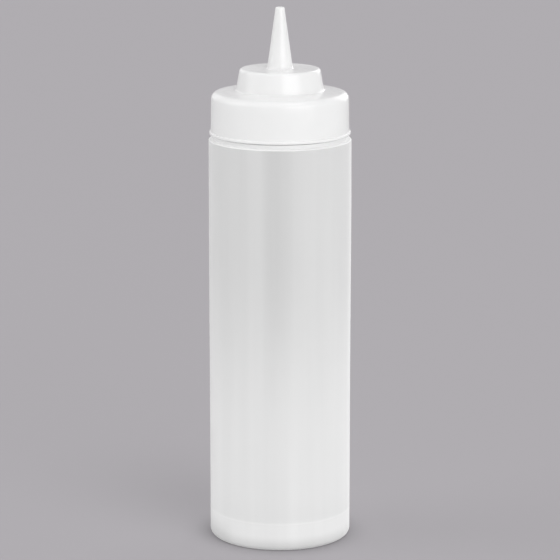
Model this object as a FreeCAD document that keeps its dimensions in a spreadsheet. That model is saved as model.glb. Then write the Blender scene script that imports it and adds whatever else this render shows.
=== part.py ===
import FreeCAD, Part
import math
import os
import re
import Sketcher

# Squeeze bottle with a screw-on cone-tip cap, in millimetres, +Z up. The origin is the centre of
# the base, where the bottle stands. Two mouldings: the blow-moulded bottle, with a threaded neck,
# and the cap, with its inner thread and hollow nozzle.

# The driving dimensions: alias, millimetres (or degrees, or turns), what it is.
SIZES = [
    ("body_radius", 35.0, "outside radius of the bottle's straight side"),
    ("body_height", 200.6, "base to the top of the shoulder"),
    ("wall", 1.1, "blow-moulded wall of the side, shoulder and collar"),
    ("base_wall", 1.6, "the thicker wall of the base"),
    ("heel_round", 2.4, "outside rounding between side and base"),
    ("shoulder_round", 0.5, "outside rounding between side and shoulder"),
    ("push_up", 2.5, "how far the middle of the base is pushed up"),
    ("foot_width", 6.5, "width of the flat ring that the bottle stands on, heel included"),
    ("seam_width", 1.2, "width of the pinched seam that crosses the base along X"),
    ("seam_height", 0.6, "how far the seam stands out, inside and underneath"),
    ("seam_margin", 6.0, "from each end of the seam to the flat ring"),
    ("collar_inset", 2.4, "side to collar"),
    ("collar_height", 2.05, "collar above the shoulder"),
    ("neck_inset", 5.0, "side to the neck between its threads"),
    ("neck_height", 18.85, "neck above the collar"),
    ("neck_wall", 1.4, "wall of the neck"),
    ("thread_pitch", 4.2, "rise of one turn of the thread"),
    ("thread_turns", 1.75, "turns of the thread"),
    ("thread_depth", 1.3, "how far the neck's thread stands out"),
    ("thread_root", 2.0, "width of a thread ridge where it grows from its wall"),
    ("thread_crest", 1.0, "width of a thread ridge at its top"),
    ("thread_bite", 0.5, "how deep a ridge is rooted in its wall"),
    ("thread_start", 6.5, "middle of the neck's ridge above the collar, where it starts"),
    ("thread_gap", 0.35, "clearance between a thread's crest and the other piece's wall"),
    ("cap_gap", 0.55, "clearance between the collar and the cap's lip"),
    ("skirt_wall", 2.3, "wall of the cap's skirt above its lip"),
    ("skirt_taper", 0.3, "how far the skirt draws in towards the top"),
    ("lip_width", 0.7, "how far the lip stands out of the skirt"),
    ("lip_height", 1.4, "height of the lip"),
    ("lip_round", 0.3, "rounding of the lip's outer edges"),
    ("top_wall", 2.0, "cap's top above the mouth, at the skirt"),
    ("top_slope", 6.2, "degrees by which the cap's top rises inwards"),
    ("top_round", 3.4, "outside rounding between skirt and top"),
    ("land_width", 3.5, "flat ring under the cap's top that the mouth seals on"),
    ("boss_radius", 21.55, "outside radius of the boss at its foot"),
    ("boss_taper", 1.95, "how far the boss draws in towards its top"),
    ("boss_height", 10.5, "boss above the cap's top"),
    ("boss_round", 1.5, "outside rounding of the boss's top edge"),
    ("foot_round", 1.0, "hollow rounding at the foot of the boss and of the nozzle"),
    ("cap_wall", 1.7, "wall of the boss"),
    ("nozzle_radius", 6.3, "outside radius of the nozzle at its foot"),
    ("nozzle_height", 29.9, "nozzle above the boss"),
    ("tip_radius", 2.15, "outside radius of the nozzle at its tip"),
    ("tip_round", 0.7, "rounding of the tip's outer edge"),
    ("nozzle_wall", 1.3, "wall of the nozzle at its foot"),
    ("tip_hole", 1.2, "radius of the hole in the tip"),
    ("tip_land", 0.1, "least flat ring left between the tip's rounding and its hole"),
]

# Radii and heights that follow from the driving dimensions.
PLACES = {
    "foot_radius": "body_radius - foot_width",
    "dome_radius": "(foot_radius ^ 2 + push_up ^ 2) / (2 * push_up)",
    "seam_reach": "foot_radius - seam_margin",
    "seam_drop": "dome_radius - sqrt(dome_radius ^ 2 - seam_reach ^ 2)",
    "seam_low": "push_up - seam_height",
    "seam_high": "base_inside + seam_height",
    "collar_radius": "body_radius - collar_inset",
    "collar_top": "body_height + collar_height",
    "neck_radius": "body_radius - neck_inset",
    "mouth_top": "collar_top + neck_height",
    "bottle_bore": "body_radius - wall",
    "collar_bore": "collar_radius - wall",
    "neck_bore": "neck_radius - neck_wall",
    "base_inside": "push_up + base_wall",
    "shoulder_inside": "body_height - wall",
    "collar_inside": "collar_top - wall",
    "thread_middle": "collar_top + thread_start",
    "thread_top": "neck_radius + thread_depth",
    "cap_bore": "thread_top + thread_gap",
    "cap_thread_top": "neck_radius + thread_gap",
    "cap_thread_middle": "thread_middle - thread_pitch / 2",
    "lip_bottom": "collar_top + cap_gap",
    "lip_top": "lip_bottom + lip_height",
    "skirt_radius": "cap_bore + skirt_wall",
    "lip_radius": "skirt_radius + lip_width",
    "top_radius": "skirt_radius - skirt_taper",
    "skirt_top": "mouth_top + top_wall",
    "boss_foot": "skirt_top + (top_radius - boss_radius) * tan(top_slope)",
    "boss_top": "boss_foot + boss_height",
    "boss_top_radius": "boss_radius - boss_taper",
    "tip_top": "boss_top + nozzle_height",
    "land_radius": "cap_bore - land_width",
    "boss_bore": "boss_radius - cap_wall",
    "boss_top_bore": "boss_top_radius - cap_wall",
    "boss_ceiling": "boss_top - cap_wall",
    "land_rise": "mouth_top + (land_radius - boss_bore) * tan(top_slope)",
    "nozzle_bore": "nozzle_radius - nozzle_wall",
    "tip_edge": "min(tip_round; tip_radius - tip_hole - tip_land)",
}

NEAR = 0.01  # how closely an edge has to match a ring's radius and height

# A sketch's numbers for its own axes, and for the middle of an arc.
X_AXIS = -1
Z_AXIS = -2
CENTRE = 3

aliases = {alias for alias, _, _ in SIZES}


def formula(text):
    """Write a sum of names as an expression on the sheet's cells."""

    def spell(match):
        word = match.group()
        if word in PLACES:
            return "(" + formula(PLACES[word]) + ")"
        return "Sizes." + word if word in aliases else word

    return re.sub(r"[a-z_]+", spell, text)


def size(text):
    """The number that a sum of names comes to."""
    return float(sheet.evalExpression(formula(text)))


def make_sheet(doc):
    table = doc.addObject("Spreadsheet::Sheet", "Sizes")
    for row, (alias, number, meaning) in enumerate(SIZES, start=1):
        table.set(f"A{row}", meaning)
        table.set(f"B{row}", str(number))
        table.setAlias(f"B{row}", alias)
    doc.recompute()
    return table


def make_body(doc, label):
    body = doc.addObject("PartDesign::Body", label.capitalize())
    body.Label = label
    body.Placement = FreeCAD.Placement()
    return body


def origin_plane(body, role):
    return next(item for item in body.Origin.OriginFeatures if item.Role == role)


def dome_arc(top, rim):
    """The arc from a point on the Z axis down to a rim, level where it leaves the axis."""
    drop = top.y - rim.y
    radius = (rim.x**2 + drop**2) / (2 * drop)
    centre = FreeCAD.Vector(0, top.y - radius, 0)
    circle = Part.Circle(centre, FreeCAD.Vector(0, 0, 1), radius)
    return Part.ArcOfCircle(circle, math.atan2(rim.y - centre.y, rim.x), math.pi / 2)


def add_profile(body, name, corners, domes=()):
    """A closed outline in the XZ plane. Each corner is (radius, height), as sums of names.

    Sides run from corner to corner. Those numbered in domes are arcs about the Z axis.
    """
    sketch = body.newObject("Sketcher::SketchObject", name)
    sketch.AttachmentSupport = [(origin_plane(body, "XZ_Plane"), "")]
    sketch.MapMode = "FlatFace"
    points = [FreeCAD.Vector(size(x), size(z), 0) for x, z in corners]
    count = len(points)
    first_end = []
    for i in range(count):
        start = points[i]
        end = points[(i + 1) % count]
        if i not in domes:
            side = Part.LineSegment(start, end)
        else:
            side = dome_arc(start, end) if start.x < end.x else dome_arc(end, start)
        sketch.addGeometry(side, False)
        first_end.append(2 if i in domes and start.x < end.x else 1)
    for i in range(count):
        follows = (i + 1) % count
        rule = Sketcher.Constraint("Coincident", i, 3 - first_end[i], follows, first_end[follows])
        sketch.addConstraint(rule)
    for i in domes:
        sketch.addConstraint(Sketcher.Constraint("PointOnObject", i, CENTRE, Z_AXIS))
    for i, (x, z) in enumerate(corners):
        pin(sketch, i, first_end[i], "X", x)
        pin(sketch, i, first_end[i], "Y", z)
    return sketch


def pin(sketch, side, end, direction, text):
    """Hold a corner at a distance from the sketch's origin, or on its axis where that is 0."""
    if text == "0":
        axis = Z_AXIS if direction == "X" else X_AXIS
        sketch.addConstraint(Sketcher.Constraint("PointOnObject", side, end, axis))
        return
    rule = Sketcher.Constraint("Distance" + direction, -1, 1, side, end, size(text))
    index = sketch.addConstraint(rule)
    name = f"{direction.lower()}_{side}"
    sketch.renameConstraint(index, name)
    sketch.setExpression("Constraints." + name, formula(text))


def revolve(body, kind, name, sketch):
    """Turn an outline round the Z axis, as a Revolution or a Groove."""
    feature = body.newObject("PartDesign::" + kind, name)
    feature.Profile = sketch
    feature.ReferenceAxis = (sketch, ["V_Axis"])
    feature.Angle = 360
    body.Document.recompute()
    return feature


def ring_edges(shape, rings):
    """The names of the round edges at each (radius, height) given as sums of names."""
    names = []
    for x, z in rings:
        radius = size(x)
        height = size(z)
        for number, edge in enumerate(shape.Edges, start=1):
            if edge.Degenerated or not isinstance(edge.Curve, Part.Circle):
                continue
            centre = FreeCAD.Vector(0, 0, height)
            if abs(edge.Curve.Radius - radius) < NEAR and edge.Curve.Center.isEqual(centre, NEAR):
                names.append(f"Edge{number}")
    return names


def round_off(body, name, radius, rings):
    """Fillet the round edges of the body's latest feature."""
    base = body.Tip
    edges = ring_edges(base.Shape, rings)
    if len(edges) < len(rings):
        raise RuntimeError(f"{name} finds {len(edges)} of its {len(rings)} edges")
    feature = body.newObject("PartDesign::Fillet", name)
    feature.Base = (base, edges)
    feature.setExpression("Radius", formula(radius))
    body.Document.recompute()
    return feature


def add_thread(body, name, corners):
    """Sweep a ridge's outline up a right-handed helix about the Z axis."""
    sketch = add_profile(body, name + "Ridge", corners)
    feature = body.newObject("PartDesign::AdditiveHelix", name)
    feature.Profile = sketch
    feature.ReferenceAxis = (sketch, ["V_Axis"])
    feature.Mode = "pitch-turns-angle"
    feature.setExpression("Pitch", formula("thread_pitch"))
    feature.setExpression("Turns", formula("thread_turns"))
    body.Document.recompute()
    return feature


def add_seam(body):
    """The pinched seam of the blow-moulded base: half of it, and its mirror image."""
    outline = add_profile(body, "SeamOutline", [
        ("0", "seam_low"),
        ("seam_reach", "seam_low - seam_drop"),
        ("seam_reach", "seam_high - seam_drop"),
        ("0", "seam_high"),
    ], domes=[0, 2])
    half = body.newObject("PartDesign::Pad", "SeamHalf")
    half.Profile = outline
    half.Midplane = True
    half.setExpression("Length", formula("seam_width"))
    body.Document.recompute()
    whole = body.newObject("PartDesign::Mirrored", "Seam")
    whole.Originals = [half]
    whole.MirrorPlane = (origin_plane(body, "YZ_Plane"), [""])
    body.Tip = whole
    body.Document.recompute()


def make_bottle(doc):
    body = make_body(doc, "bottle")
    outside = add_profile(body, "BottleOutside", [
        ("0", "push_up"),
        ("foot_radius", "0"),
        ("body_radius", "0"),
        ("body_radius", "body_height"),
        ("collar_radius", "body_height"),
        ("collar_radius", "collar_top"),
        ("neck_radius", "collar_top"),
        ("neck_radius", "mouth_top"),
        ("0", "mouth_top"),
    ], domes=[0])
    revolve(body, "Revolution", "BottleBlank", outside)
    round_off(body, "Heel", "heel_round", [("body_radius", "0")])
    round_off(body, "Shoulder", "shoulder_round", [("body_radius", "body_height")])
    inside = add_profile(body, "BottleInside", [
        ("0", "base_inside"),
        ("foot_radius", "base_wall"),
        ("bottle_bore", "base_wall"),
        ("bottle_bore", "shoulder_inside"),
        ("collar_bore", "shoulder_inside"),
        ("collar_bore", "collar_inside"),
        ("neck_bore", "collar_inside"),
        ("neck_bore", "mouth_top"),
        ("0", "mouth_top"),
    ], domes=[0])
    revolve(body, "Groove", "BottleHollow", inside)
    round_off(body, "HeelInside", "heel_round - wall", [("bottle_bore", "base_wall")])
    add_seam(body)
    add_thread(body, "NeckThread", [
        ("neck_radius - thread_bite", "thread_middle - thread_root / 2"),
        ("neck_radius", "thread_middle - thread_root / 2"),
        ("thread_top", "thread_middle - thread_crest / 2"),
        ("thread_top", "thread_middle + thread_crest / 2"),
        ("neck_radius", "thread_middle + thread_root / 2"),
        ("neck_radius - thread_bite", "thread_middle + thread_root / 2"),
    ])
    return body


def make_cap(doc):
    body = make_body(doc, "cap")
    outside = add_profile(body, "CapOutside", [
        ("0", "lip_bottom"),
        ("lip_radius", "lip_bottom"),
        ("lip_radius", "lip_top"),
        ("skirt_radius", "lip_top"),
        ("top_radius", "skirt_top"),
        ("boss_radius", "boss_foot"),
        ("boss_top_radius", "boss_top"),
        ("nozzle_radius", "boss_top"),
        ("tip_radius", "tip_top"),
        ("0", "tip_top"),
    ])
    revolve(body, "Revolution", "CapBlank", outside)
    round_off(body, "LipEdges", "lip_round", [("lip_radius", "lip_bottom"), ("lip_radius", "lip_top")])
    round_off(body, "TopEdge", "top_round", [("top_radius", "skirt_top")])
    round_off(body, "BossEdge", "boss_round", [("boss_top_radius", "boss_top")])
    round_off(body, "FootRounds", "foot_round", [("boss_radius", "boss_foot"), ("nozzle_radius", "boss_top")])
    round_off(body, "TipEdge", "tip_edge", [("tip_radius", "tip_top")])
    inside = add_profile(body, "CapInside", [
        ("0", "lip_bottom"),
        ("cap_bore", "lip_bottom"),
        ("cap_bore", "mouth_top"),
        ("land_radius", "mouth_top"),
        ("boss_bore", "land_rise"),
        ("boss_top_bore", "boss_ceiling"),
        ("nozzle_bore", "boss_ceiling"),
        ("tip_hole", "tip_top"),
        ("0", "tip_top"),
    ])
    revolve(body, "Groove", "CapHollow", inside)
    add_thread(body, "CapThread", [
        ("cap_bore + thread_bite", "cap_thread_middle - thread_root / 2"),
        ("cap_bore", "cap_thread_middle - thread_root / 2"),
        ("cap_thread_top", "cap_thread_middle - thread_crest / 2"),
        ("cap_thread_top", "cap_thread_middle + thread_crest / 2"),
        ("cap_bore", "cap_thread_middle + thread_root / 2"),
        ("cap_bore + thread_bite", "cap_thread_middle + thread_root / 2"),
    ])
    return body


def check_solid(name, shape):
    if shape.isNull() or not shape.isValid() or len(shape.Solids) != 1 or shape.Volume <= 0:
        raise RuntimeError(f"{name} isn't one valid solid")


def check(doc, bodies):
    """Stop if any object failed, or a feature or a body isn't one valid solid.

    Each feature is looked at, because a later one can hide a hollow that went wrong.
    """
    for item in doc.Objects:
        if "Invalid" in item.State or "Error" in item.State:
            raise RuntimeError(f"{item.Name} failed: {item.State}")
    for body in bodies:
        for item in body.Group:
            if item.isDerivedFrom("PartDesign::Feature"):
                check_solid(item.Name, item.Shape)
        check_solid(body.Label, body.Shape)


doc = FreeCAD.newDocument("SqueezeBottle")
sheet = make_sheet(doc)
bodies = [make_bottle(doc), make_cap(doc)]
doc.recompute()
check(doc, bodies)

os.makedirs("parts", exist_ok=True)
for body in bodies:
    body.Shape.exportStep(f"parts/{body.Label}.step")
    box = body.Shape.optimalBoundingBox()
    print(f"{body.Label}: {body.Shape.Volume / 1000:.2f} cm3, z {box.ZMin:.2f} to {box.ZMax:.2f},"
          f" width {box.XLength:.2f}")
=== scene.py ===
import math
import bpy
import bmesh
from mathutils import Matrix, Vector


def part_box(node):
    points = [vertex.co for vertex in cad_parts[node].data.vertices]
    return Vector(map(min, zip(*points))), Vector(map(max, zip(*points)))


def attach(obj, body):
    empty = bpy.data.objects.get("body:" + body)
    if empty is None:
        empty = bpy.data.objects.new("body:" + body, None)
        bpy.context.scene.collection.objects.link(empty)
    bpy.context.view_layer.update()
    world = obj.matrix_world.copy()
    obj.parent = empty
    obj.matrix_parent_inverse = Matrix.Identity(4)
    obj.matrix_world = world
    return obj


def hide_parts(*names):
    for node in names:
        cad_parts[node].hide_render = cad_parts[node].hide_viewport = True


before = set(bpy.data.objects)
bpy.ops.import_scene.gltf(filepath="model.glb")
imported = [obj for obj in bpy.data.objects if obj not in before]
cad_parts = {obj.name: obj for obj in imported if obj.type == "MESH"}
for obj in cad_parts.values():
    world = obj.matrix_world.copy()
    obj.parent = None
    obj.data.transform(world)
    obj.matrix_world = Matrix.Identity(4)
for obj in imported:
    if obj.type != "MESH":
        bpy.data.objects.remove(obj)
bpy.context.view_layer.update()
mm = 0.001  # the scene is in metres, and sizes are written in millimetres
fullTurn = 2 * math.pi
print("frame loaded")


# small helpers for node trees
def addNode(tree, kind, inputs=None, **settings):
    node = tree.nodes.new(kind)
    for key, value in settings.items():
        setattr(node, key, value)
    for key, value in (inputs or {}).items():
        plug(tree, node.inputs[key], value)
    return node


def plug(tree, socket, value):  # links another node's output, or sets a plain value
    if isinstance(value, bpy.types.NodeSocket):
        tree.links.new(value, socket)
    else:
        socket.default_value = value


def maths(tree, operation, *values):
    return addNode(tree, "ShaderNodeMath", dict(enumerate(values)), operation=operation).outputs[0]


def add(tree, first, second):
    return maths(tree, "ADD", first, second)


def subtract(tree, first, second):
    return maths(tree, "SUBTRACT", first, second)


def multiply(tree, first, second):
    return maths(tree, "MULTIPLY", first, second)


def divide(tree, first, second):
    return maths(tree, "DIVIDE", first, second)


def vectorMaths(tree, operation, inputs):
    node = addNode(tree, "ShaderNodeVectorMath", inputs, operation=operation)
    return node.outputs["Value" if operation in ("DOT_PRODUCT", "LENGTH") else "Vector"]


def splitVector(tree, vector):
    return addNode(tree, "ShaderNodeSeparateXYZ", {0: vector}).outputs


def joinVector(tree, x, y, z):
    return addNode(tree, "ShaderNodeCombineXYZ", {0: x, 1: y, 2: z}).outputs[0]


def ramp(tree, value, low, high, start=0.0, end=1.0):  # an eased step from start to end
    given = dict(enumerate((value, low, high, start, end)))
    return addNode(tree, "ShaderNodeMapRange", given, interpolation_type="SMOOTHSTEP").outputs[0]


def position(tree):
    return addNode(tree, "GeometryNodeInputPosition").outputs[0]


def namedValue(tree, name, kind="FLOAT"):
    return addNode(tree, "GeometryNodeInputNamedAttribute", {"Name": name}, data_type=kind).outputs[0]


# the lathe: a Geometry Nodes tree that turns an outline round the Z axis
latheInputs = {
    "Geometry": ["Geometry"],
    "Int": ["Closed", "Segments", "Round Steps"],
    "Float": [
        "Crowding", "Thread Start", "Thread Pitch", "Thread Turns", "Thread Depth", "Thread Root",
        "Thread Crest", "Thread Lead", "Seam Width", "Seam Height", "Seam Reach", "Line Width",
        "Line Height", "Wobble", "Wobble Low", "Wobble High", "Wobble Ease", "Seed"],
    "Material": ["Material"],
}

# what each point of an outline carries
outlineValues = {"rounding": "FLOAT", "cuts": "INT", "skin": "FLOAT", "ridge": "FLOAT"}

lathe = {
    "mergeDistance": 0.002 * mm,  # closes the poles and the end of the turn
    "supportReach": 1.7,   # how far a rounding's support points stand from its corner, in roundings
    "mostOfSide": 0.98,    # how much of a short side its two roundings' support points may take
    "lineStart": 1.2,      # the parting line has faded in at this share of the base seam's reach
    "seamFlat": 0.6,       # share of the base seam's half width that has its full height
    "seamFull": 0.96,      # share of its reach that has its full height
    "seamTop": 10.0 * mm,  # only what is lower than this is the base
    "wobbleRound": 0.9,    # how quickly the wobble changes round the bottle
    "wobbleUp": 9.0,       # and how quickly up it
}


def addLatheInputs(tree):
    for kind, names in latheInputs.items():
        for name in names:
            tree.interface.new_socket(name, in_out="INPUT", socket_type="NodeSocket" + kind)
    tree.interface.new_socket("Geometry", in_out="OUTPUT", socket_type="NodeSocketGeometry")


def roundedOutline(tree, given):  # a curve with its corners rounded and its long sides divided
    curve = addNode(tree, "GeometryNodeMeshToCurve", {"Mesh": given["Geometry"]}).outputs[0]
    rounded = addNode(tree, "GeometryNodeFilletCurve", {
        "Curve": curve, "Count": given["Round Steps"], "Radius": namedValue(tree, "rounding"),
        "Limit Radius": True}, mode="POLY").outputs[0]
    return addNode(tree, "GeometryNodeSubdivideCurve", {
        "Curve": rounded, "Cuts": namedValue(tree, "cuts", "INT")}).outputs[0]


def turnedOutline(tree, given, outline):
    # a grid takes its rows from the outline and its columns from the turn
    size = addNode(tree, "GeometryNodeAttributeDomainSize", {"Geometry": outline}, component="CURVE")
    rows = size.outputs["Point Count"]
    grid = addNode(tree, "GeometryNodeMeshGrid", {
        "Size X": 1.0, "Size Y": 1.0,
        "Vertices X": add(tree, rows, given["Closed"]),
        "Vertices Y": add(tree, given["Segments"], 1.0)})
    place = splitVector(tree, position(tree))
    steps = add(tree, rows, subtract(tree, given["Closed"], 1.0))
    along = multiply(tree, add(tree, place[0], 0.5), steps)
    row = maths(tree, "MODULO", maths(tree, "ROUND", along), rows)
    turn = multiply(tree, add(tree, place[1], 0.5), fullTurn)
    crowd = multiply(tree, given["Crowding"], maths(tree, "SINE", multiply(tree, turn, 2.0)))
    angle = subtract(tree, turn, multiply(tree, crowd, 0.5))  # columns crowd at the parting line

    def sample(value, kind):  # what the outline carries at this row
        return addNode(tree, "GeometryNodeSampleIndex", {
            "Geometry": outline, "Value": value, "Index": row},
            data_type=kind, domain="POINT").outputs[0]

    outlinePlace = splitVector(tree, sample(position(tree), "FLOAT_VECTOR"))
    mesh = grid.outputs["Mesh"]
    for name in ("skin", "ridge"):
        mesh = addNode(tree, "GeometryNodeStoreNamedAttribute", {
            "Geometry": mesh, "Name": name, "Value": sample(namedValue(tree, name), "FLOAT")},
            data_type="FLOAT", domain="POINT").outputs[0]
    turned = joinVector(
        tree, multiply(tree, outlinePlace[0], maths(tree, "COSINE", angle)),
        multiply(tree, outlinePlace[0], maths(tree, "SINE", angle)), outlinePlace[2])
    mesh = addNode(tree, "GeometryNodeSetPosition", {"Geometry": mesh, "Position": turned}).outputs[0]
    return addNode(tree, "GeometryNodeMergeByDistance", {
        "Geometry": mesh, "Distance": lathe["mergeDistance"]}).outputs[0]


def threadRidge(tree, given, z, share):  # climbs one pitch a turn and fades at both ends
    pitch = given["Thread Pitch"]
    root = given["Thread Root"]
    climbed = divide(tree, subtract(tree, z, given["Thread Start"]), pitch)
    turns = add(tree, maths(tree, "ROUND", subtract(tree, climbed, share)), share)
    apart = multiply(tree, maths(tree, "ABSOLUTE", subtract(tree, climbed, turns)), pitch)
    inside = subtract(tree, divide(tree, root, 2.0), apart)
    flank = divide(tree, subtract(tree, root, given["Thread Crest"]), 2.0)
    crest = maths(tree, "MINIMUM", maths(tree, "MAXIMUM", divide(tree, inside, flank), 0.0), 1.0)
    startFade = ramp(tree, turns, 0.0, given["Thread Lead"])
    endFade = ramp(tree, subtract(tree, given["Thread Turns"], turns), 0.0, given["Thread Lead"])
    started = multiply(tree, crest, startFade)
    height = multiply(tree, started, multiply(tree, endFade, given["Thread Depth"]))
    return multiply(tree, height, namedValue(tree, "ridge"))


def partingLine(tree, given, y, radius):  # a fine ridge down both sides of the outer skin
    reach = given["Seam Reach"]
    nearLine = ramp(tree, maths(tree, "ABSOLUTE", y), 0.0, given["Line Width"], 1.0, 0.0)
    line = multiply(tree, nearLine, given["Line Height"])
    outside = maths(tree, "MAXIMUM", namedValue(tree, "skin"), 0.0)
    onSide = ramp(tree, radius, reach, multiply(tree, reach, lathe["lineStart"]))
    return multiply(tree, multiply(tree, line, outside), onSide)


def baseSeam(tree, given, y, z, radius):  # pinched down from the outer skin and up from the inner
    reach = given["Seam Reach"]
    half = divide(tree, given["Seam Width"], 2.0)
    flat = multiply(tree, half, lathe["seamFlat"])
    nearSeam = ramp(tree, maths(tree, "ABSOLUTE", y), flat, half, 1.0, 0.0)
    seam = multiply(tree, nearSeam, given["Seam Height"])
    seamEnd = ramp(tree, radius, multiply(tree, reach, lathe["seamFull"]), reach, 1.0, 0.0)
    atBase = maths(tree, "LESS_THAN", z, lathe["seamTop"])
    skin = namedValue(tree, "skin")
    return multiply(tree, multiply(tree, seam, seamEnd), multiply(tree, atBase, skin))


def softWobble(tree, given, outwards, z):  # a soft-walled bottle is never quite round
    low = given["Wobble Low"]
    high = given["Wobble High"]
    ease = given["Wobble Ease"]
    out = splitVector(tree, outwards)
    around = joinVector(
        tree, multiply(tree, out[0], lathe["wobbleRound"]),
        multiply(tree, out[1], lathe["wobbleRound"]), multiply(tree, z, lathe["wobbleUp"]))
    pattern = addNode(tree, "ShaderNodeTexNoise", {
        "Vector": around, "W": given["Seed"], "Scale": 1.0, "Detail": 0.0}, noise_dimensions="4D")
    wobble = multiply(tree, subtract(tree, pattern.outputs[0], 0.5), given["Wobble"])
    rise = ramp(tree, z, low, add(tree, low, ease))
    fall = ramp(tree, z, subtract(tree, high, ease), high, 1.0, 0.0)
    return multiply(tree, wobble, multiply(tree, rise, fall))


def makeLatheTree():
    tree = bpy.data.node_groups.new("latheTree", "GeometryNodeTree")
    addLatheInputs(tree)
    given = addNode(tree, "NodeGroupInput").outputs
    mesh = turnedOutline(tree, given, roundedOutline(tree, given))

    # each point moves out or in along its own radius, and at the base down or up
    x, y, z = splitVector(tree, position(tree))
    radius = maths(tree, "SQRT", add(tree, multiply(tree, x, x), multiply(tree, y, y)))
    outwards = vectorMaths(tree, "NORMALIZE", {0: joinVector(tree, x, y, 0.0)})
    share = maths(tree, "FRACT", divide(tree, maths(tree, "ARCTAN2", y, x), fullTurn))
    shift = add(tree, threadRidge(tree, given, z, share), partingLine(tree, given, y, radius))
    shift = add(tree, shift, softWobble(tree, given, outwards, z))
    moved = vectorMaths(tree, "SCALE", {0: outwards, "Scale": shift})
    lift = joinVector(tree, 0.0, 0.0, multiply(tree, baseSeam(tree, given, y, z, radius), -1.0))
    offset = vectorMaths(tree, "ADD", {0: moved, 1: lift})
    mesh = addNode(tree, "GeometryNodeSetPosition", {"Geometry": mesh, "Offset": offset}).outputs[0]
    mesh = addNode(tree, "GeometryNodeSetShadeSmooth", {"Geometry": mesh}).outputs[0]
    mesh = addNode(tree, "GeometryNodeRealizeInstances", {"Geometry": mesh}).outputs[0]
    mesh = addNode(tree, "GeometryNodeSetMaterial", {
        "Geometry": mesh, "Material": given["Material"]}).outputs[0]
    addNode(tree, "NodeGroupOutput", {0: mesh})
    return tree


def corner(radius, height, rounding=0.0, rows=0, ridge=0.0):  # rows divide the side that follows
    return {"at": Vector((radius, 0.0, height)), "rounding": rounding, "rows": rows, "ridge": ridge}


def outlineMesh(name, outside, inside, closed):
    corners = [dict(c, skin=1.0) for c in outside] + [dict(c, skin=-1.0) for c in inside]
    sides = len(corners) if closed else len(corners) - 1
    points = []
    for i, here in enumerate(corners):
        points.append(dict(here, cuts=0 if here["rounding"] else here["rows"]))
        if i == sides:
            break
        after = corners[(i + 1) % len(corners)]
        side = after["at"] - here["at"]
        way = side.normalized()
        both = here["rounding"] + after["rounding"]
        reach = min(lathe["supportReach"], lathe["mostOfSide"] * side.length / both) if both else 0.0
        # a point on each side of a rounding keeps the shading of flat faces flat
        if here["rounding"]:
            near = here["at"] + way * here["rounding"] * reach
            points.append(dict(here, at=near, rounding=0.0, cuts=here["rows"]))
        if after["rounding"]:
            near = after["at"] - way * after["rounding"] * reach
            points.append(dict(here, at=near, rounding=0.0, cuts=0))
    mesh = bpy.data.meshes.new(name)
    count = len(points)
    edges = [(i, (i + 1) % count) for i in range(count if closed else count - 1)]
    mesh.from_pydata([p["at"] for p in points], edges, [])
    for attribute, kind in outlineValues.items():
        values = mesh.attributes.new(attribute, kind, "POINT").data
        for item, point in zip(values, points):
            item.value = point[attribute]
    return mesh


def turnPiece(name, tree, outline, settings, material, node):
    piece = bpy.data.objects.new(name, outline)
    bpy.context.scene.collection.objects.link(piece)
    modifier = piece.modifiers.new("lathe", "NODES")
    modifier.node_group = tree
    sockets = {item.name: item.identifier for item in tree.interface.items_tree
               if item.item_type == "SOCKET" and item.in_out == "INPUT"}
    for key, value in settings.items():
        modifier[sockets[key]] = value
    modifier[sockets["Material"]] = material
    bpy.context.view_layer.update()
    evaluated = piece.evaluated_get(bpy.context.evaluated_depsgraph_get())
    result = bpy.data.meshes.new_from_object(evaluated)
    piece.modifiers.remove(modifier)
    piece.data = result
    piece.data.name = name
    for attribute in outlineValues:
        if attribute in result.attributes:
            result.attributes.remove(result.attributes[attribute])
    shell = bmesh.new()
    shell.from_mesh(result)
    bmesh.ops.recalc_face_normals(shell, faces=shell.faces)
    shell.to_mesh(result)
    shell.free()
    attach(piece, "root")
    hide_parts(node)
    print(name, len(result.vertices), "points", len(result.polygons), "faces")


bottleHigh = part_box("bottle")[1]
capLow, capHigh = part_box("cap")

bottle = {
    "radius": bottleHigh[0],
    "mouthTop": bottleHigh[2],
    "neckHeight": 18.85 * mm,
    "collarHeight": 2.05 * mm,
    "collarInset": 2.4 * mm,
    "neckInset": 5.0 * mm,
    "neckWall": 1.4 * mm,
    "wall": 1.1 * mm,
    "baseWall": 1.6 * mm,
    "pushUp": 2.5 * mm,
    "footWidth": 6.5 * mm,
    "heelRound": 2.4 * mm,
    "shoulderRound": 0.5 * mm,
    "smallRound": 0.3 * mm,
    "threadStart": 6.5 * mm,  # above the collar
    "baseRing": 14.0 * mm,    # where the mould's side meets its base, a fine raised ring
    "ringWidth": 0.7 * mm,
    "ringHeight": 0.06 * mm,
    "seamWidth": 1.2 * mm,    # the pinched seam across the base
    "seamHeight": 0.6 * mm,
    "seamMargin": 6.0 * mm,
    "lineWidth": 0.45 * mm,   # the parting line down both sides
    "lineHeight": 0.05 * mm,
    "wobble": 0.6 * mm,       # how far the soft side is from round, away from the base and shoulder
    "wobbleLow": 3.0 * mm,
    "wobbleEase": 25.0 * mm,
    "wobbleSeed": 3.0,
    "segments": 192,          # columns of faces round the bottle
    "crowding": 0.85,         # how much closer they stand at the parting line
    "roundSteps": 6,          # rows on each rounded corner
    "domeRows": 14,
    "heelRows": 4,
    "sideRows": 60,
    "threadRows": 52,
    "boreRows": 8,
}

thread = {
    "pitch": 4.2 * mm,
    "turns": 1.75,
    "depth": 1.3 * mm,
    "root": 2.0 * mm,
    "crest": 1.0 * mm,
    "lead": 0.12,       # the part of a turn in which an end fades
    "gap": 0.35 * mm,   # between the neck and the cap's ridge
}

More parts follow.
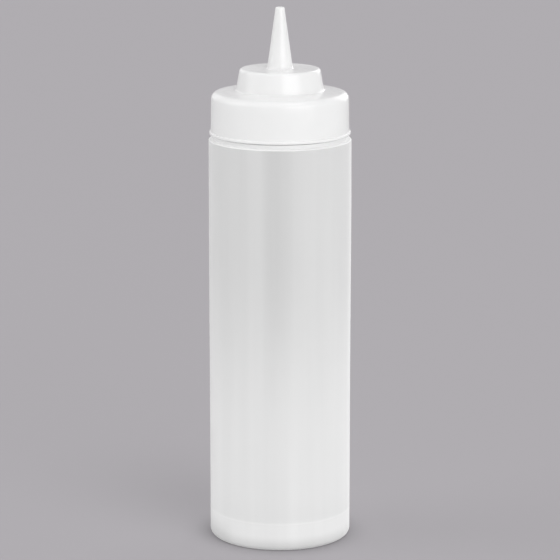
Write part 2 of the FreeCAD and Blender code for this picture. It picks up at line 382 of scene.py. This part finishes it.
cap = {
    "lipBottom": capLow[2],
    "tipTop": capHigh[2],
    "lipRadius": capHigh[0],
    "lipWidth": 0.7 * mm,
    "lipHeight": 1.4 * mm,
    "lipEdge": 0.2 * mm,  # the lip's inner edge, and the corner where it meets the skirt
    "skirtWall": 2.3 * mm,
    "skirtTaper": 0.3 * mm,
    "topWall": 2.0 * mm,
    "topSlope": math.radians(6.2),
    "topRound": 3.4 * mm,
    "landWidth": 3.5 * mm,
    "bossRadius": 21.55 * mm,
    "bossTaper": 1.95 * mm,
    "bossHeight": 10.5 * mm,
    "bossRound": 1.5 * mm,
    "footRound": 1.0 * mm,
    "smallRound": 0.3 * mm,
    "wall": 1.7 * mm,
    "nozzleRadius": 6.3 * mm,
    "nozzleWall": 1.3 * mm,
    "tipRadius": 2.15 * mm,
    "tipRound": 0.7 * mm,
    "tipHole": 1.2 * mm,
    "holeRound": 0.15 * mm,
    "segments": 160,      # columns of faces round the cap
    "roundSteps": 6,      # rows on each rounded corner
    "skirtRows": 12,
    "topRows": 6,
    "bossRows": 4,
    "bossTopRows": 6,
    "nozzleRows": 12,
    "channelRows": 8,
    "hollowRows": 3,      # the boss's hollow, on its top and on its side
    "landRows": 2,
}

# heights and a radius that more than one piece or finish goes by
collarTop = bottle["mouthTop"] - bottle["neckHeight"]
shoulder = collarTop - bottle["collarHeight"]
neckRadius = bottle["radius"] - bottle["neckInset"]
neckThreadStart = collarTop + bottle["threadStart"]


def threadInputs(start, depth):
    return {
        "Thread Start": start, "Thread Pitch": thread["pitch"], "Thread Turns": thread["turns"],
        "Thread Depth": depth, "Thread Root": thread["root"], "Thread Crest": thread["crest"],
        "Thread Lead": thread["lead"]}


def threadEnds(start):  # the heights between which the wall has rows for a thread
    return start - thread["root"], start + thread["turns"] * thread["pitch"] + thread["root"]


def makeBottle(tree, material):
    size = bottle
    side = size["radius"]
    collar = side - size["collarInset"]
    foot = side - size["footWidth"]
    small = size["smallRound"]
    ring = size["baseRing"]
    threadLow, threadHigh = threadEnds(neckThreadStart)

    def dome(height):  # an arc from the axis to the standing ring
        curve = (foot**2 + size["pushUp"] ** 2) / (2 * size["pushUp"])
        rows = size["domeRows"]
        radii = [foot * i / rows for i in range(rows + 1)]
        return [corner(r, height + size["pushUp"] - curve + math.sqrt(curve**2 - r**2)) for r in radii]

    outside = dome(0.0) + [
        corner(side, 0.0, size["heelRound"], size["heelRows"]),
        corner(side, ring - size["ringWidth"] / 2),
        corner(side + size["ringHeight"], ring),
        corner(side, ring + size["ringWidth"] / 2, 0.0, size["sideRows"]),
        corner(side, shoulder, size["shoulderRound"]),
        corner(collar, shoulder, small),
        corner(collar, collarTop, small),
        corner(neckRadius, collarTop, small),
        corner(neckRadius, threadLow, 0.0, size["threadRows"], 1.0),
        corner(neckRadius, threadHigh),
        corner(neckRadius, size["mouthTop"], small),
    ]
    wall = size["wall"]
    bore = neckRadius - size["neckWall"]
    inside = [
        corner(bore, size["mouthTop"], small, size["boreRows"]),
        corner(bore, collarTop - wall, small),
        corner(collar - wall, collarTop - wall, small),
        corner(collar - wall, shoulder - wall, small),
        corner(side - wall, shoulder - wall, small, size["sideRows"]),
        corner(side - wall, size["baseWall"], size["heelRound"] - wall),
    ] + dome(size["baseWall"])[::-1]
    settings = threadInputs(neckThreadStart, thread["depth"])
    settings.update({
        "Closed": 0, "Segments": size["segments"], "Round Steps": size["roundSteps"],
        "Crowding": size["crowding"], "Seam Width": size["seamWidth"], "Seam Height": size["seamHeight"],
        "Seam Reach": foot - size["seamMargin"], "Line Width": size["lineWidth"],
        "Line Height": size["lineHeight"], "Wobble": size["wobble"], "Wobble Low": size["wobbleLow"],
        "Wobble High": shoulder - size["wobbleLow"], "Wobble Ease": size["wobbleEase"],
        "Seed": size["wobbleSeed"]})
    outline = outlineMesh("bottleOutline", outside, inside, False)
    turnPiece("bottleShell", tree, outline, settings, material, "bottle")


def makeCap(tree, material):
    size = cap
    skirt = size["lipRadius"] - size["lipWidth"]
    bore = skirt - size["skirtWall"]
    top = skirt - size["skirtTaper"]
    mouth = bottle["mouthTop"]
    skirtTop = mouth + size["topWall"]
    lipTop = size["lipBottom"] + size["lipHeight"]
    slope = math.tan(size["topSlope"])
    bossFoot = skirtTop + (top - size["bossRadius"]) * slope
    bossTop = bossFoot + size["bossHeight"]
    bossTopRadius = size["bossRadius"] - size["bossTaper"]
    land = bore - size["landWidth"]
    wall = size["wall"]
    bossBore = size["bossRadius"] - wall
    channel = size["nozzleRadius"] - size["nozzleWall"]
    small = size["smallRound"]
    start = neckThreadStart - thread["pitch"] / 2  # half a pitch down, between the neck's ridges
    threadLow, threadHigh = threadEnds(start)
    outside = [
        corner(bore, size["lipBottom"], size["lipEdge"]),
        corner(size["lipRadius"], size["lipBottom"], small),
        corner(size["lipRadius"], lipTop, small),
        corner(skirt, lipTop, size["lipEdge"], size["skirtRows"]),
        corner(top, skirtTop, size["topRound"], size["topRows"]),
        corner(size["bossRadius"], bossFoot, size["footRound"], size["bossRows"]),
        corner(bossTopRadius, bossTop, size["bossRound"], size["bossTopRows"]),
        corner(size["nozzleRadius"], bossTop, size["footRound"], size["nozzleRows"]),
        corner(size["tipRadius"], size["tipTop"], size["tipRound"]),
    ]
    inside = [
        corner(size["tipHole"], size["tipTop"], size["holeRound"], size["channelRows"]),
        corner(channel, bossTop - wall, small, size["hollowRows"]),
        corner(bossTopRadius - wall, bossTop - wall, small, size["hollowRows"]),
        corner(bossBore, mouth + (land - bossBore) * slope, small, size["landRows"]),
        corner(land, mouth),
        corner(bore, mouth, small),
        corner(bore, threadHigh, 0.0, bottle["threadRows"], -1.0),  # the ridge grows inwards
        corner(bore, threadLow),
    ]
    settings = threadInputs(start, bore - neckRadius - thread["gap"])
    settings.update({"Closed": 1, "Segments": size["segments"], "Round Steps": size["roundSteps"]})
    outline = outlineMesh("capOutline", outside, inside, True)
    turnPiece("capShell", tree, outline, settings, material, "cap")


# helpers for the plastics and the floor
def newMaterial(name):
    material = bpy.data.materials.new(name)
    material.use_nodes = True
    tree = material.node_tree
    tree.nodes.clear()
    shader = addNode(tree, "ShaderNodeBsdfPrincipled")
    addNode(tree, "ShaderNodeOutputMaterial", {"Surface": shader.outputs[0]})
    return material, tree, shader


def grey(level):
    return (level, level, level, 1.0)


def paintGrey(tree, shader, level):
    colour = addNode(tree, "ShaderNodeCombineColor", {0: level, 1: level, 2: level})
    plug(tree, shader.inputs["Base Color"], colour.outputs[0])


def noise(tree, place, pattern):
    perMetre = pattern["perMetre"]
    spread = addNode(tree, "ShaderNodeMapping", {
        "Vector": place, "Scale": (perMetre, perMetre, perMetre * pattern["upright"])}).outputs[0]
    return addNode(tree, "ShaderNodeTexNoise", {
        "Vector": spread, "Scale": 1.0, "Detail": pattern["detail"]}).outputs[0]


def patches(tree, place, pattern, start, end):  # a pattern spread between two values
    return ramp(tree, noise(tree, place, pattern), *pattern["edges"], start, end)


def relief(tree, shader, place, patterns):  # bump, each pattern on top of the one before
    normal = None
    for pattern in patterns:
        bump = addNode(tree, "ShaderNodeBump", {
            "Height": noise(tree, place, pattern), "Distance": pattern["depth"]})
        if normal is not None:
            plug(tree, bump.inputs["Normal"], normal)
        normal = bump.outputs[0]
    plug(tree, shader.inputs["Normal"], normal)


def scatterLight(shader, look):
    shader.inputs["Subsurface Radius"].default_value = (1.0, 1.0, 1.0)
    shader.inputs["Subsurface Scale"].default_value = look["scatter"]
    shader.inputs["IOR"].default_value = look["ior"]


frosted = {
    "base": 0.82,           # grey low on the side: partly thicker, whiter plastic, partly painted light from the floor below
    "shoulder": 0.71,       # grey high on the side: partly thinner plastic, partly painted shade under the cap
    "fadeLow": 50.0 * mm,   # between these heights the one turns into the other
    "fadeHigh": 150.0 * mm,
    "collar": 0.93,         # the thickest plastic, at the collar and neck
    "collarEdge": 0.6 * mm,
    "sideGlow": 0.04,       # painted light: how much whiter the low wall is towards the parting line, where the sides glow with light coming through the wall
    "sideStart": 0.4,       # and where that begins, from 0 at the front or back to 1 at the line
    "bandsFull": 3.0 * mm,  # under the base the upright bands fade out, from this far in from the side
    "bandsGone": 7.0 * mm,
    "footBand": 0.04,       # how much whiter the side is below the mould's base ring
    "footDip": 0.02,        # and how much greyer just above that ring
    "dipHeight": 16.0 * mm,
    "ringHighlight": 0.03,       # painted highlight: how much whiter the base ring itself is
    "ringHalf": 0.3 * mm,   # half the height of that line, and where it has faded out
    "ringEdge": 0.8 * mm,
    "heel": 0.765,          # painted shade at the heel, where little light reaches near the floor, as a share of the side's colour
    "heelTop": 8.0 * mm,
    "streakGain": 0.010,    # how much whiter or greyer the fine upright streaks are
    "roughness": (0.33, 0.45),
    "subsurface": 0.6,
    "scatter": 1.0 * mm,
    "edgeGlow": 0.9,        # the long way through the wall at its edges looks whiter
    "edgeSpread": 0.5,
    "ior": 1.5,
    # patterns: upright below 1 draws one out upright, edges are where its patches begin and end
    "streaks": {"perMetre": 130.0, "detail": 2.0, "upright": 0.04, "edges": (0.3, 0.7)},
    "scuffs": {"perMetre": 60.0, "detail": 4.0, "upright": 0.3, "edges": (0.35, 0.65)},
    "ripple": {"perMetre": 70.0, "detail": 1.0, "upright": 0.12, "depth": 0.10 * mm},
    "frost": {"perMetre": 900.0, "detail": 1.0, "upright": 1.0, "depth": 0.006 * mm},
}

# upright bands: the four from -68 to 38 degrees, facing the front, are painted reflections and shade of
# the lamps and the room, the rest are where the blown wall is thinner or thicker: degrees round from the
# front, half width in degrees, how much whiter high on the side, and how much whiter low on it
lightAndWallBands = [
    (-68.0, 16.0, 0.005, 0.020),
    (-20.0, 9.0, 0.020, 0.006),
    (-2.0, 14.0, -0.050, -0.015),
    (38.0, 26.0, 0.018, -0.022),
    (92.0, 14.0, -0.030, -0.009),
    (128.0, 18.0, 0.030, 0.009),
    (165.0, 15.0, -0.030, -0.009),
    (205.0, 18.0, 0.030, 0.009),
    (252.0, 20.0, -0.030, -0.009),
]

# painted shadow on the left of the heel, where the bottle's shadow on the floor takes away bounced light,
# and the heights between which it fades out
paintedHeelShadow = {"angle": -85.0, "halfWidth": 48.0, "gain": -0.18, "full": 4.5 * mm, "gone": 14.0 * mm}


def wallTintAndPaintedLight(tree, place, z):  # how much whiter the wall is, round the bottle and up it: its thickness, with painted shadow, painted reflections and painted glow
    look = frosted
    flat = vectorMaths(tree, "MULTIPLY", {0: place, 1: (1.0, 1.0, 0.0)})
    outwards = vectorMaths(tree, "NORMALIZE", {0: flat})

    def band(angle, halfWidth):  # 1 in the middle of an upright band, 0 at its edges and beyond
        turn = math.radians(angle)
        towards = (math.sin(turn), -math.cos(turn), 0.0)
        facing = vectorMaths(tree, "DOT_PRODUCT", {0: outwards, 1: towards})
        return ramp(tree, facing, math.cos(math.radians(halfWidth)), 1.0)

    # painted shadow at the left of the heel
    patch = paintedHeelShadow
    heelShadowGain = ramp(tree, z, patch["full"], patch["gone"], patch["gain"], 0.0)
    shade = multiply(tree, band(patch["angle"], patch["halfWidth"]), heelShadowGain)
    # the front bands are painted reflections and shade, the rest the wall's thickness
    for angle, halfWidth, high, low in lightAndWallBands:
        gain = ramp(tree, z, look["fadeLow"], look["fadeHigh"], low, high)
        shade = add(tree, shade, multiply(tree, band(angle, halfWidth), gain))
    # painted glow at the sides, low down
    acrossX = maths(tree, "ABSOLUTE", splitVector(tree, outwards)[0])
    sides = multiply(tree, ramp(tree, acrossX, look["sideStart"], 1.0, 0.0, look["sideGlow"]),
                     ramp(tree, z, look["fadeLow"], look["fadeHigh"], 1.0, 0.0))
    reach = vectorMaths(tree, "LENGTH", {0: flat})
    onWall = ramp(tree, reach, bottle["radius"] - look["bandsGone"], bottle["radius"] - look["bandsFull"])
    return multiply(tree, add(tree, shade, sides), onWall)


def footShade(tree, z):  # how much whiter the wall is below, on and just above the base ring, with a painted highlight on the ring itself
    look = frosted
    ring = bottle["baseRing"]
    half = look["ringHalf"]
    dip = ramp(tree, z, ring, ring + look["dipHeight"], -look["footDip"], 0.0)
    foot = ramp(tree, z, ring - half, ring + half, look["footBand"], dip)
    fromRing = maths(tree, "ABSOLUTE", subtract(tree, z, ring))
    return add(tree, foot, ramp(tree, fromRing, half, look["ringEdge"], look["ringHighlight"], 0.0))


def makeFrostedPlastic():
    look = frosted
    material, tree, shader = newMaterial("frostedPlastic")
    place = addNode(tree, "ShaderNodeTexCoord").outputs["Object"]
    z = splitVector(tree, place)[2]
    # lighter low and greyer high: partly the wall's thickness, partly painted light and shade inside the
    # bottle
    level = ramp(tree, z, look["fadeLow"], look["fadeHigh"], look["base"], look["shoulder"])
    streaks = patches(tree, place, look["streaks"], -look["streakGain"], look["streakGain"])
    # painted shadow, reflections and glow on the wall, with its real bands and streaks
    level = add(tree, level, add(tree, wallTintAndPaintedLight(tree, place, z), streaks))
    # the foot's whiter band and the base ring's painted highlight
    level = add(tree, level, footShade(tree, z))
    # painted shade at the heel
    level = multiply(tree, level, ramp(tree, z, 0.0, look["heelTop"], look["heel"], 1.0))
    collar = ramp(tree, z, shoulder - look["collarEdge"], shoulder)
    paintGrey(tree, shader, ramp(tree, collar, 0.0, 1.0, level, look["collar"]))
    plug(tree, shader.inputs["Subsurface Weight"], ramp(tree, collar, 0.0, 1.0, look["subsurface"], 0.0))
    scatterLight(shader, look)
    plug(tree, shader.inputs["Roughness"], patches(tree, place, look["scuffs"], *look["roughness"]))
    shader.inputs["Sheen Weight"].default_value = look["edgeGlow"]
    shader.inputs["Sheen Roughness"].default_value = look["edgeSpread"]
    relief(tree, shader, place, (look["ripple"], look["frost"]))
    return material


gloss = {
    "colour": (0.885, 0.905),
    "roughness": (0.22, 0.27),
    "subsurface": 0.5,
    "scatter": 1.5 * mm,
    "ior": 1.5,
    "flow": {"perMetre": 45.0, "detail": 3.0, "upright": 1.0, "edges": (0.35, 0.65)},
    "rub": {"perMetre": 300.0, "detail": 3.0, "upright": 1.0, "edges": (0.3, 0.7)},
    "sink": {"perMetre": 45.0, "detail": 1.0, "upright": 1.0, "depth": 0.06 * mm},
    "grain": {"perMetre": 600.0, "detail": 1.0, "upright": 1.0, "depth": 0.002 * mm},
}


def makeWhitePlastic():
    look = gloss
    material, tree, shader = newMaterial("whitePlastic")
    place = addNode(tree, "ShaderNodeTexCoord").outputs["Object"]
    paintGrey(tree, shader, patches(tree, place, look["flow"], *look["colour"]))
    plug(tree, shader.inputs["Roughness"], patches(tree, place, look["rub"], *look["roughness"]))
    shader.inputs["Subsurface Weight"].default_value = look["subsurface"]
    scatterLight(shader, look)
    relief(tree, shader, place, (look["sink"], look["grain"]))
    return material


# the stage: a floor, five soft lamps and the room's own light
background = (0.4287, 0.4125, 0.4342, 1.0)

stage = {
    "floorSize": 40.0,
    "floorColour": (0.457, 0.440, 0.463, 1.0),  # lit by the lamps and the room, it matches the background
    "bounce": 0.78,  # the floor's grey where it only lights the object, as a white table would
    "steady": 0.38,  # share of the floor's brightness that shadows leave alone
    "contactReach": 15.0 * mm,  # painted contact shadow: how far the dark line round the foot reaches
    "contactFull": 0.3,  # where this little of the room is seen, the line is at its darkest
    "contactDepth": 0.22,
    "contactSamples": 8,
    "ambient": 0.58,
    "lamps": [
        # name, share of the light, degrees to the right, degrees up, width in degrees
        ("highBox", 0.15, 38.0, 65.0, 25.0),
        ("frontBox", 0.46, 30.0, 5.0, 50.0),
        ("leftBox", 0.21, -88.0, 28.0, 50.0),
        ("rightRim", 0.20, 150.0, 15.0, 40.0),
        ("leftRim", 0.07, -150.0, 15.0, 40.0),
    ],
}


def seenDirectly(tree):  # 1 for the camera's rays and for what gloss and glass show
    path = addNode(tree, "ShaderNodeLightPath").outputs
    shown = maths(tree, "MAXIMUM", path["Is Glossy Ray"], path["Is Transmission Ray"])
    return maths(tree, "MAXIMUM", path["Is Camera Ray"], shown)


def makeFloor():
    material, tree, shader = newMaterial("paleFloor")
    shader.inputs["Roughness"].default_value = 1.0
    shader.inputs["Specular IOR Level"].default_value = 0.0
    # a painted contact shadow darkens the floor's grey and glow near the foot
    openness = addNode(tree, "ShaderNodeAmbientOcclusion", {
        "Distance": stage["contactReach"]}, samples=stage["contactSamples"]).outputs["AO"]
    clear = ramp(tree, openness, stage["contactFull"], 1.0, 1.0 - stage["contactDepth"], 1.0)
    direct = seenDirectly(tree)
    colour = addNode(tree, "ShaderNodeMix", {
        0: direct, 6: grey(stage["bounce"]), 7: stage["floorColour"]}, data_type="RGBA").outputs[2]
    lit = vectorMaths(tree, "SCALE", {0: colour, "Scale": clear})
    plug(tree, shader.inputs["Base Color"], lit)
    glow = addNode(tree, "ShaderNodeEmission", {"Color": background, "Strength": clear})
    share = multiply(tree, direct, stage["steady"])
    mix = addNode(tree, "ShaderNodeMixShader", {0: share, 1: shader.outputs[0], 2: glow.outputs[0]})
    plug(tree, tree.nodes["Material Output"].inputs["Surface"], mix.outputs[0])
    bpy.ops.mesh.primitive_plane_add(size=stage["floorSize"], location=(0, 0, 0))
    floor = bpy.context.object
    floor.name = "floor"
    floor.data.materials.append(material)


def makeLamps():
    for name, share, right, up, width in stage["lamps"]:
        data = bpy.data.lights.new(name, "SUN")
        data.energy = share * math.pi
        data.angle = math.radians(width)
        lamp = bpy.data.objects.new(name, data)
        bpy.context.scene.collection.objects.link(lamp)
        side = math.radians(right)
        rise = math.radians(up)
        level = math.cos(rise)
        towards = Vector((math.sin(side) * level, -math.cos(side) * level, math.sin(rise)))
        lamp.rotation_euler = towards.to_track_quat("Z", "Y").to_euler()


def makeWorld():
    world = bpy.data.worlds.new("studio")
    bpy.context.scene.world = world
    world.use_nodes = True
    tree = world.node_tree
    tree.nodes.clear()
    around = addNode(tree, "ShaderNodeBackground", {"Color": grey(1.0), "Strength": stage["ambient"]})
    behind = addNode(tree, "ShaderNodeBackground", {"Color": background, "Strength": 1.0})
    mix = addNode(tree, "ShaderNodeMixShader", {
        0: seenDirectly(tree), 1: around.outputs[0], 2: behind.outputs[0]})
    addNode(tree, "ShaderNodeOutputWorld", {"Surface": mix.outputs[0]})


view = {
    "distance": 1.311,  # metres in front of the bottle's axis
    "height": 0.420,
    "downDegrees": 12.492,
    "lens": 174.1,
    "sensor": 36.0,
}


def makeCamera():
    data = bpy.data.cameras.new("camera")
    data.lens = view["lens"]
    data.sensor_width = view["sensor"]
    camera = bpy.data.objects.new("camera", data)
    camera.location = (0.0, -view["distance"], view["height"])
    camera.rotation_euler = (math.radians(90.0 - view["downDegrees"]), 0.0, 0.0)
    bpy.context.scene.collection.objects.link(camera)
    bpy.context.scene.camera = camera


latheTree = makeLatheTree()
print("lathe tree made")
makeBottle(latheTree, makeFrostedPlastic())
makeCap(latheTree, makeWhitePlastic())
makeFloor()
makeLamps()
makeWorld()
makeCamera()
bpy.context.scene.view_settings.view_transform = "Standard"
print("stage made")
